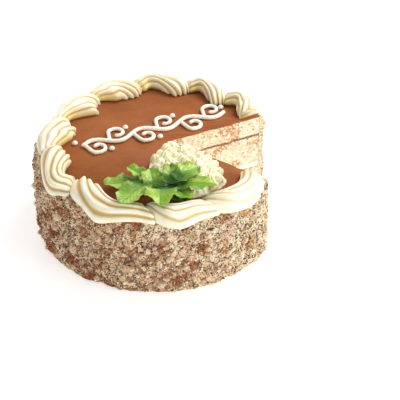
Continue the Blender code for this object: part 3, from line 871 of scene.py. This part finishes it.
# Painted shade: the cream turns tan in the grooves and olive yellow at the inner legs.
groove_shade = cream.attribute("groove_shade").step(0.05, 0.95)
butter = cream.mix(cream.noise(12.0).step(0.3, 0.7), srgb(253, 247, 228), srgb(246, 234, 200))
butter = cream.mix(cream.attribute("leg_shade") * 0.85, butter, srgb(232, 207, 126))
cream.set(
    Base_Color=cream.mix(groove_shade * 0.95, butter, srgb(200, 164, 88)),
    Roughness=0.42,
    Specular_IOR_Level=0.4,
)
cream.soften(0.2, (4.0, 2.5, 1.2))
cream.bump(cream.noise(1.0), 0.08)
for number in range(len(BORDER_JOINTS) - 1):
    make_stroke(number, cream)


# Heap of florets
# A low mound of the same cream, covered with small stars pressed from a star nozzle and
# drawn up to a tip, thickest beside the leaves.

HEAP_MIDDLE = (25.0, -45.0)
HEAP_HEIGHT = 10.5
HEAP_LIMIT = 83.0
CUT_CLEARANCE = 5.0
HEAP_RINGS = 44
HEAP_POINTS = 200
RUFFLE = 2.5
RUFFLE_SIZE = 4.6
FLORET_ROWS = 6
FLORET_PITCH = 9.0
FLORET_STRAY = 1.2
FLORET_POINTS = 5
FLORET_SIZES = (3.9, 4.7)
FLORET_LEVELS = 12
FLORET_AROUND = 40
LEAF_REACH = (34.0, -50.0)

# The heap's outline: angle about its middle, and plan radius
HEAP_RADII = (
    (0.0, 28.0),
    (46.0, 26.0),
    (80.0, 34.0),
    (112.0, 44.0),
    (136.0, 38.0),
    (168.0, 34.0),
    (203.0, 34.0),
    (237.0, 36.0),
    (287.0, 34.0),
    (315.0, 35.0),
    (337.0, 36.0),
)


def heap_radius(angle):
    """Plan radius of the heap about its middle, smoothly through the named radii."""
    angle %= 360.0
    wrapped = HEAP_RADII + ((HEAP_RADII[0][0] + 360.0, HEAP_RADII[0][1]),)
    for (a0, r0), (a1, r1) in zip(wrapped, wrapped[1:]):
        if a0 <= angle <= a1:
            return r0 + (r1 - r0) * smooth((angle - a0) / (a1 - a0))
    return HEAP_RADII[0][1]


def heap_height(x, y):
    """Height of the heap's core above the chocolate at a plan point."""
    dx, dy = x - HEAP_MIDDLE[0], y - HEAP_MIDDLE[1]
    share = math.hypot(dx, dy) / heap_radius(math.degrees(math.atan2(dy, dx)))
    if share >= 1.0:
        return 0.0
    under_leaves = smooth((y + 78.0) / 30.0 + max(0.0, x - 30.0) / 40.0)
    return HEAP_HEIGHT * (0.6 + 0.4 * under_leaves) * (1.0 - share ** 2.4) ** 0.6


def floret(place, normal, size, turn):
    """Points, painted shade between its ridges and towards its foot, and faces of a star of cream,
    twisted and drawn up to a tip.
    """
    basis = np.array(normal.to_track_quat("Z", "Y").to_matrix())
    up = np.linspace(0.0, 1.0, FLORET_LEVELS)[:, None]
    theta = np.linspace(0.0, math.tau, FLORET_AROUND, endpoint=False)[None, :]
    ridge = np.abs(np.cos(FLORET_POINTS / 2 * (theta - np.radians(turn + 55.0 * up)))) ** 0.6
    width = size * (1.0 - up ** 2.0) ** 0.65 * (0.74 + 0.44 * ridge * (1.0 - 0.3 * up))
    height = size * (-0.35 + 1.4 * up + 0.15 * ridge * up) * np.ones_like(theta)
    local = np.stack((width * np.cos(theta), width * np.sin(theta), height), axis=-1)
    points = local.reshape(-1, 3) @ basis.T + np.array(place)
    points[:, 2] = np.maximum(points[:, 2], TOP + GAP + 0.2)
    faces = [tuple(range(FLORET_AROUND - 1, -1, -1)), *ring_faces(FLORET_LEVELS, FLORET_AROUND)]
    return points, (1.0 - ridge + 0.4 * (1.0 - up)).ravel(), faces


def make_heap(paint):
    """The mound and its florets as one piece."""
    points, grooves = [], []
    for ring in range(HEAP_RINGS + 1):
        share = math.sin(math.pi / 2 * (1.0 - ring / HEAP_RINGS))
        for k in range(HEAP_POINTS):
            angle = 360.0 * k / HEAP_POINTS
            ux, uy = unit(angle)
            distance = heap_radius(angle) * share
            x, y = HEAP_MIDDLE[0] + ux * distance, HEAP_MIDDLE[1] + uy * distance
            ruffle = 0.7 - grain(x, y, 0.0, RUFFLE_SIZE) + 0.4 * lump(x, y, 0.0, 2.6)
            height = heap_height(x, y) + RUFFLE * ruffle * (ring > 0)
            points.append((x, y, TOP + GAP + max(height, 0.0)))
            # Painted shade: the mound is darker in the low places between its ruffles.
            grooves.append(0.45 - 0.6 * ruffle)
    faces = [tuple(range(HEAP_POINTS - 1, -1, -1)), *ring_faces(HEAP_RINGS + 1, HEAP_POINTS)]
    points, grooves = [np.array(points)], [np.array(grooves)]
    start = len(points[0])
    near = unit(NEAR_CUT)
    for row in range(-FLORET_ROWS, FLORET_ROWS + 1):
        for place in range(-FLORET_ROWS, FLORET_ROWS + 1):
            x = HEAP_MIDDLE[0] + FLORET_PITCH * (place + 0.5 * (row % 2))
            y = HEAP_MIDDLE[1] + FLORET_PITCH * 0.87 * row
            x += draw.uniform(-FLORET_STRAY, FLORET_STRAY)
            y += draw.uniform(-FLORET_STRAY, FLORET_STRAY)
            size = draw.uniform(*FLORET_SIZES)
            dx, dy = x - HEAP_MIDDLE[0], y - HEAP_MIDDLE[1]
            edge = heap_radius(math.degrees(math.atan2(dy, dx))) - math.hypot(dx, dy)
            to_cut = (y - APEX[1]) * near[0] - (x - APEX[0]) * near[1]
            past_leaves = x > LEAF_REACH[0] and x + 0.6 * y > -2.0
            under_leaves = y < LEAF_REACH[1] and not past_leaves
            on_border = math.hypot(x, y) > HEAP_LIMIT
            if edge < 1.0 or to_cut > -CUT_CLEARANCE or under_leaves or on_border:
                continue
            z = TOP + GAP + max(heap_height(x, y), 0.45 * size)
            lean = 0.55 * (1.0 - smooth(edge / 14.0)) + 0.1
            away = Vector((dx, dy, 0.0)).normalized() * lean
            tilt = Vector((*spread.uniform(-0.45, 0.45, 2), 1.0))
            swell = size * spread.uniform(0.82, 1.25)
            shape = floret((x, y, z), (tilt + away).normalized(), swell, draw.uniform(0.0, 360.0))
            points.append(shape[0])
            # Each floret's painted shade is shifted by a random tone of its own.
            grooves.append(shape[1] + spread.uniform(-0.3, 0.4))
            faces += [tuple(start + index for index in face) for face in shape[2]]
            start += len(shape[0])
    values = {"groove_shade": np.concatenate(grooves)}
    make_piece("heap", np.concatenate(points), faces, paint, ("floret_heap",), values)


floret_cream = Paint("floret_cream")
# Painted shade: the cream turns yellow between a floret's ridges, towards its foot and in the
# mound's hollows.
between = floret_cream.attribute("groove_shade").step(0.1, 1.1)
pale_butter = floret_cream.mix(floret_cream.noise(6.0), srgb(255, 253, 232), srgb(254, 243, 204))
floret_cream.set(
    Base_Color=floret_cream.mix(between * 0.75, pale_butter, srgb(238, 218, 140)),
    Roughness=0.45,
)
floret_cream.soften(0.25, (4.0, 2.8, 1.4))
floret_cream.bump(floret_cream.noise(0.9), 0.08)
make_heap(floret_cream)


# Leaves
# Green butter cream from a leaf nozzle: each leaf is one pull, broad at its foot, with a
# crease down its middle, fine ribs beside it and a thin wavy edge drawn to a point.

LEAF_THICKNESS = 0.9
LEAF_TUCK = 3.0
LEAF_DROOP = 4.0
LEAF_SINK = 2.0
LEAF_FOOT = 0.22
LEAF_CELL = 0.6
LEAF_COLUMNS = 35
HIGH_TIP = 17.0

# Name, foot, tip, width, heights at the foot, middle and tip, and how much the edge ripples
LEAVES = (
    ("leaf_left_low", (-18.0, -62.0), (-46.0, -65.0), 18.0, (6.0, 6.5, 7.5), 0.5),
    ("leaf_left_high", (-11.5, -60.0), (-26.0, -50.0), 12.0, (11.5, 12.5, 13.5), 0.5),
    ("leaf_front_left", (-12.0, -72.0), (-31.0, -103.0), 23.0, (12.5, 14.0, 15.0), 0.8),
    ("leaf_front", (3.0, -79.0), (1.0, -108.0), 25.0, (11.0, 17.5, 15.5), 0.8),
    ("leaf_front_low", (6.0, -66.0), (23.0, -92.0), 22.0, (7.0, 7.0, 6.4), 0.4),
    ("leaf_front_right", (15.0, -77.0), (27.5, -95.0), 15.0, (9.5, 11.0, 12.0), 0.5),
    ("leaf_right_low", (20.0, -76.0), (49.0, -81.0), 15.0, (14.0, 15.5, 15.0), 0.6),
    ("leaf_right_high", (17.0, -68.0), (35.0, -56.0), 19.0, (17.0, 19.5, 19.0), 0.8),
    ("leaf_back", (10.5, -65.0), (11.0, -50.0), 14.0, (11.5, 15.5, 18.5), 0.6),
    ("leaf_back_left", (-4.0, -70.0), (-6.5, -53.0), 18.0, (8.5, 13.5, 17.5), 0.7),
)


def make_leaf(node, foot, tip, width, heights, ripple, paint):
    """One leaf: both of its faces are the same waved sheet, thinner at the edge."""
    axis = np.array(tip) - np.array(foot)
    length = np.linalg.norm(axis)
    ux, uy = axis / length
    rows = max(24, round(length / LEAF_CELL))
    along = np.linspace(-LEAF_TUCK / length, 1.0, rows)[:, None]
    across = np.linspace(-1.0, 1.0, LEAF_COLUMNS)[None, :]
    lean = np.sin(3.0 * length)
    bend = 4.0 * along * (1.0 - along)
    height = heights[0] + (heights[2] - heights[0]) * along
    height = height + (heights[1] - (heights[0] + heights[2]) / 2) * bend
    half = 0.58 * width * (0.8 + 0.2 * smooth(along / 0.4)) * (1.0 - np.abs(along) ** 3.5) ** 0.7
    tear = 1.0 + 0.08 * np.sin(15.0 * along + 3.0 * length + across)
    tear = tear + 0.05 * np.sin(41.0 * along + length - 2.0 * across)
    x = foot[0] + ux * length * along - uy * half * across * tear
    y = foot[1] + uy * length * along + ux * half * across * tear
    waves = np.sin(math.tau * (1.9 * along + 0.3 * (across > 0.0)) + length)
    ruffle = 2.4 * ripple * across ** 2 * waves + 0.8 * across ** 2
    along_ribs = half * np.abs(across) - 0.5 * length * along
    drift = 0.8 * np.sin(6.0 * along + length)
    ribs = np.sin(2.0 * along_ribs + drift) * smooth(np.abs(across) * 3.0)
    crease = np.exp(-(across * half / 0.9) ** 2)
    fold = 0.07 * half * across * lean
    droop = LEAF_DROOP * smooth(along) * (heights[2] > HIGH_TIP)
    foot_share = smooth(1.0 - along / LEAF_FOOT)
    z = TOP + height + ruffle + fold + 0.8 * np.abs(across)
    z = z - 0.4 * crease * smooth(along * 6.0) + 0.12 * ribs
    z = z - droop - LEAF_SINK * foot_share
    z = np.clip(z, TOP + LEAF_THICKNESS, cad_box[1][2] / MM - LEAF_THICKNESS)
    thick = LEAF_THICKNESS * (0.5 - 0.3 * across ** 4) * np.ones_like(along)
    upper = np.stack((x, y, z + thick), axis=-1).reshape(-1, 3)
    lower = np.stack((x, y, z - thick), axis=-1).reshape(-1, 3)
    wide = LEAF_COLUMNS
    offset = len(upper)
    faces = []
    for i in range(rows - 1):
        for k in range(wide - 1):
            a, b = i * wide + k, i * wide + k + 1
            c, d = b + wide, a + wide
            faces.append((a, b, c, d))
            faces.append((a + offset, d + offset, c + offset, b + offset))
    rim = list(range(wide))
    rim += [i * wide + wide - 1 for i in range(1, rows)]
    rim += [(rows - 1) * wide + k for k in range(wide - 2, -1, -1)]
    rim += [i * wide for i in range(rows - 2, 0, -1)]
    for this, after in zip(rim, rim[1:] + rim[:1]):
        faces.append((this, this + offset, after + offset, after))
    # Painted shade in the crease, between ribs, along the fold, in the valleys of the waves and at
    # the foot where the leaves meet; a painted highlight on one half of the leaf; and painted
    # shade at the foot that fades towards the tip.
    valley = smooth(-waves * across ** 2 * 1.2)
    fold_line = np.exp(-((across + 0.5 * np.sign(lean)) / 0.28) ** 2)
    dark = 0.5 * crease + 0.2 * (0.5 - 0.5 * ribs) + 0.35 * fold_line + 0.4 * valley
    dark = np.clip(dark + 0.8 * foot_share, 0.0, 1.4)
    sunny = np.exp(-((across * np.sign(lean) - 0.5) / 0.35) ** 2) * smooth(along * 2.5)
    foot_shade_fade = smooth(along * 1.3) * np.ones_like(across)
    values = {
        "dark": np.tile(dark.ravel(), 2),
        "foot_shade_fade": np.tile(foot_shade_fade.ravel(), 2),
        "sunny": np.tile((sunny * (0.75 + 0.25 * ribs)).ravel(), 2),
        "edge": np.tile((np.abs(across) ** 3 * np.ones_like(along)).ravel(), 2),
    }
    name = node.replace("leaf", "leaf_pull")
    make_piece(name, np.concatenate((upper, lower)), faces, paint, (node,), values)


def leaf_paint(name, foot, tip, pale, crease):
    """Green cream from its colour at the foot, darker there as painted shade, at the tip, in pale
    streaks of painted highlight, and in the crease as painted shade.
    """
    paint = Paint(name)
    green = paint.mix(paint.attribute("foot_shade_fade"), foot, tip)
    # Painted highlights: pale streaks on the lit half of each leaf, and some at random.
    streaks = paint.attribute("sunny") * 0.7 + paint.noise(3.5).step(0.5, 0.7) * 0.3
    green = paint.mix(streaks, green, pale)
    green = paint.mix(paint.attribute("edge") * 0.25, green, pale)
    paint.set(
        Base_Color=paint.mix(paint.attribute("dark") * 0.55, green, crease),
        Roughness=0.4,
    )
    paint.soften(0.15, (2.0, 3.0, 1.0))
    paint.bump(paint.noise(0.8), 0.06)
    return paint


bright = srgb(84, 142, 16), srgb(132, 178, 30), srgb(206, 222, 110), srgb(36, 88, 22)
# The low front leaf fills the shadowed gap among the others, so its greens are painted shade.
deep = srgb(14, 58, 32), srgb(62, 124, 44), srgb(84, 146, 58), srgb(12, 52, 28)
leaf_green = leaf_paint("leaf_cream", *bright)
painted_shade_green = leaf_paint("painted_shade_leaf_cream", *deep)
for leaf in LEAVES:
    make_leaf(*leaf, painted_shade_green if leaf[0] == "leaf_front_low" else leaf_green)


# Scroll and beads
# A running vine of cream piped with a small round nozzle across the chocolate, with curls on
# both sides and round drops in its hollows.

SCROLL_START = (-66.0, -1.0)
SCROLL_HEADING = 22.0
SCROLL_LENGTH = 138.0
SCROLL_WAVES = 3.0
SCROLL_SWING = 5.0
SCROLL_RADIUS = 1.9
STEM_PARTS = 27
PATH_PARTS = 8
TUBE_POINTS = 14
CURLS = 6
CURL_RADII = (8.2, 3.8)
CURL_OFFSET = 7.5
CURL_START = 9.0
CURL_STEPS = 8
CURL_TURN = 330.0
BEAD_POINTS = 20

# Places of the beads, along the scroll's line and off it
BEAD_PLACES = ((-4.0, 8.0), (23.0, -13.0), (46.0, 13.0), (69.0, -13.0), (92.0, 13.0), (138.0, 8.0))

# Radius and height of a bead, from its foot to its tip
BEAD_PROFILE = (
    (1.5, 0.0),
    (2.3, 0.4),
    (2.6, 1.2),
    (2.4, 2.0),
    (1.8, 2.8),
    (1.0, 3.3),
    (0.4, 3.7),
    (0.1, 3.8),
)


def scroll_point(along, off):
    """Plan point on the scroll's line, which runs beside the far cut."""
    ux, uy = unit(SCROLL_HEADING)
    return SCROLL_START[0] + ux * along - uy * off, SCROLL_START[1] + uy * along + ux * off


def scroll_swing(along):
    """How far the scroll's stem swings off its line."""
    return SCROLL_SWING * math.sin(math.tau * SCROLL_WAVES * along / SCROLL_LENGTH)


def curl_path(number):
    """Plan points of a curl: it leaves the stem and turns round into a hook."""
    side = 1.0 if number % 2 else -1.0
    along = SCROLL_LENGTH * (number + 0.5) / CURLS
    start = along - CURL_START
    corners = [scroll_point(start, scroll_swing(start))]
    for step in range(1, CURL_STEPS + 1):
        angle = math.radians(180.0 + side * (10.0 - CURL_TURN * step / CURL_STEPS))
        radius = CURL_RADII[0] + (CURL_RADII[1] - CURL_RADII[0]) * step / CURL_STEPS
        off = side * CURL_OFFSET + radius * math.sin(angle)
        corners.append(scroll_point(along + 1.0 + radius * math.cos(angle), off))
    return corners


def rounded_path(corners):
    """A smooth curve through the corners."""
    ends = [corners[0], *corners, corners[-1]]
    path = []
    for before, this, after, beyond in zip(ends, ends[1:], ends[2:], ends[3:]):
        p0, p1, p2, p3 = map(np.array, (before, this, after, beyond))
        for part in range(PATH_PARTS):
            t = part / PATH_PARTS
            bend = (2 * p0 - 5 * p1 + 4 * p2 - p3) * t * t + (3 * p1 - p0 - 3 * p2 + p3) * t ** 3
            path.append(p1 + ((p2 - p0) * t + bend) / 2)
    return [*path, np.array(corners[-1])]


def tube(path, radius, seed):
    """Points and faces of a soft bead of cream along a path, rounded at both ends."""
    path = np.array(path)
    ahead = np.gradient(path, axis=0)
    ahead /= np.linalg.norm(ahead, axis=1)[:, None]
    side = np.stack((-ahead[:, 1], ahead[:, 0]), axis=1)
    run = np.concatenate(([0.0], np.cumsum(np.linalg.norm(np.diff(path, axis=0), axis=1))))
    from_end = np.minimum(run, run[-1] - run)
    cap = np.sqrt(1.0 - (1.0 - np.clip((from_end + 0.05) / radius, 0.0, 1.0)) ** 2)
    pulse = np.array([1.0 + 0.14 * lump(s, seed, 0.0, 3.5) for s in run])
    swell = (radius * cap * pulse)[:, None]
    angle = np.linspace(0.0, math.tau, TUBE_POINTS, endpoint=False)[None, :]
    across = swell * np.cos(angle)
    up = swell * np.sin(angle)
    x = path[:, :1] + side[:, :1] * across
    y = path[:, 1:] + side[:, 1:] * across
    z = TOP + GAP + np.maximum(0.85 * radius + up, 0.0)
    count = x.size
    faces = [tuple(range(TUBE_POINTS - 1, -1, -1)), tuple(range(count - TUBE_POINTS, count))]
    faces += ring_faces(len(path), TUBE_POINTS)
    return np.stack((x, y, z), axis=-1).reshape(-1, 3), faces


def make_scroll(paint):
    """The stem and its curls as one piece."""
    places = [SCROLL_LENGTH * step / STEM_PARTS for step in range(STEM_PARTS + 1)]
    stem = rounded_path([scroll_point(along, scroll_swing(along)) for along in places])
    parts = [tube(stem, SCROLL_RADIUS, 0.0)]
    for number in range(CURLS):
        path = rounded_path(curl_path(number))
        parts.append(tube(path, 0.92 * SCROLL_RADIUS, 9.0 + number))
    points, faces, start = [], [], 0
    for corners, sides in parts:
        points.append(corners)
        faces += [tuple(start + index for index in side) for side in sides]
        start += len(corners)
    points = np.concatenate(points)
    make_piece("vine", points, faces, paint, ("cream_scroll",))


def make_bead(number, place, paint):
    """A round drop of cream with a small soft tip."""
    x, y = scroll_point(*place)
    points = []
    for radius, z in BEAD_PROFILE:
        for k in range(BEAD_POINTS):
            ux, uy = unit(360.0 * k / BEAD_POINTS)
            uneven = 1.0 + 0.05 * lump(ux * 2.0, uy * 2.0, z + 9.0 * number, 2.0)
            points.append((x + ux * radius * uneven, y + uy * radius * uneven, TOP + GAP + z))
    faces = ring_faces(len(BEAD_PROFILE), BEAD_POINTS)
    faces.append(tuple(range(BEAD_POINTS - 1, -1, -1)))
    faces.append(tuple(range(len(points) - BEAD_POINTS, len(points))))
    make_piece("drop_%d" % number, points, faces, paint, ("bead_%d" % number,))


scroll_cream = Paint("scroll_cream")
scroll_tint = scroll_cream.noise(2.5).step(0.35, 0.7)
scroll_cream.set(
    Base_Color=scroll_cream.mix(scroll_tint, srgb(255, 249, 236), srgb(250, 236, 212)),
    Roughness=0.4,
)
scroll_cream.soften(0.15, (3.0, 2.0, 1.0))
scroll_cream.bump(scroll_cream.noise(0.8), 0.08)
make_scroll(scroll_cream)
for number, place in enumerate(BEAD_PLACES):
    make_bead(number + 1, place, scroll_cream)


# Studio
# A white sweep, a white world and two large soft lamps on the right, one high behind the cake
# and one low in front. The camera looks down from in front, turned a little to the right.
# Sizes and places are in metres here.

FAR = 30.0
STAND_OFF = 1.32
ELEVATION = math.radians(37.5)
YAW = math.radians(2.07)
PITCH = ELEVATION - math.radians(0.61)
camera_data = bpy.data.cameras.new("camera")
camera_data.lens = 129.5
camera_data.sensor_width = 36.0
camera = bpy.data.objects.new("camera", camera_data)
camera.location = (0.0, -STAND_OFF * math.cos(ELEVATION), STAND_OFF * math.sin(ELEVATION))
camera.rotation_euler = (math.pi / 2 - PITCH, 0.0, -YAW)
bpy.context.scene.collection.objects.link(camera)
bpy.context.scene.camera = camera
bpy.context.scene.view_settings.view_transform = "Standard"

white = Paint("sweep")
white.set(
    Base_Color=white.mix(white.noise(300.0), (0.86, 0.86, 0.86), (0.88, 0.88, 0.88)),
    Roughness=0.3,
    Emission_Color=(1.0, 0.99, 0.98),
    Emission_Strength=0.48,
)
sweep = bpy.data.meshes.new("sweep")
corners = [(-FAR, -FAR, 0.0), (FAR, -FAR, 0.0), (FAR, FAR, 0.0), (-FAR, FAR, 0.0)]
sweep.from_pydata(corners, [], [(0, 1, 2, 3)])
sweep.materials.append(white.material)
floor = bpy.data.objects.new("floor", sweep)
bpy.context.scene.collection.objects.link(floor)

world = bpy.data.worlds.new("studio")
world.use_nodes = True
background = world.node_tree.nodes["Background"]
background.inputs["Color"].default_value = (1.0, 1.0, 1.0, 1.0)
background.inputs["Strength"].default_value = 0.64
bpy.context.scene.world = world


def make_lamp(name, place, size, power):
    """A square soft lamp facing the cake."""
    data = bpy.data.lights.new(name, "AREA")
    data.size = size
    data.energy = power
    lamp = bpy.data.objects.new(name, data)
    lamp.location = place
    lamp.rotation_euler = Vector(place).to_track_quat("Z", "Y").to_euler()
    bpy.context.scene.collection.objects.link(lamp)


make_lamp("key", (0.9, 0.8, 1.5), 0.8, 24.0)
make_lamp("fill", (1.9, -1.1, 0.45), 1.2, 26.0)
